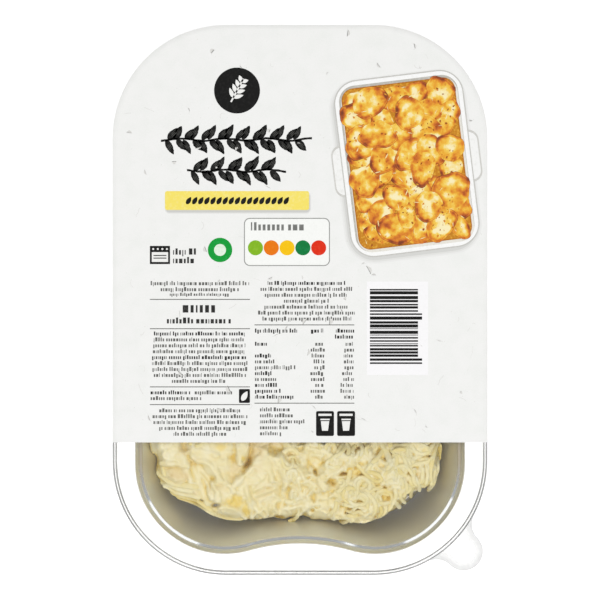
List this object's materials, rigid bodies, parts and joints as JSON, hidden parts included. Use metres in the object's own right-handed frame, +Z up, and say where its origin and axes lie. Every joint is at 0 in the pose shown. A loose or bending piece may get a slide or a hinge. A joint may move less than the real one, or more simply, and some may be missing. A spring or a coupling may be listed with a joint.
{
  "type": "sealed foil tray of potato gratin",
  "caption": "Chilled ready-to-bake potato gratin: sliced potato, cream sauce and grated cheese in a smooth-wall foil tray, sealed under a clear lid film with a peel tab and a large label.",
  "frame": {"origin": "middle of the pack's outline, at the underside of the tray's flat base", "axes": "+Z up through the lid, +Y along the tray towards the labelled end, +X across the tray; the peel tab is at the (+X, -Y) corner"},
  "size_m": [0.156, 0.23, 0.0362],
  "materials": {
    "tray": "lacquered smooth-wall foil, bright flange",
    "gratin": "moist cream sauce and grated cheese over potato slices",
    "lid_film": "clear gloss film",
    "label": "off-white matt print with fine fibres"
  },
  "bodies": {
    "root": {"tray": "tray", "gratin": "gratin", "lid_film": "lid_film", "label": "label"}
  },
  "joints": []
}
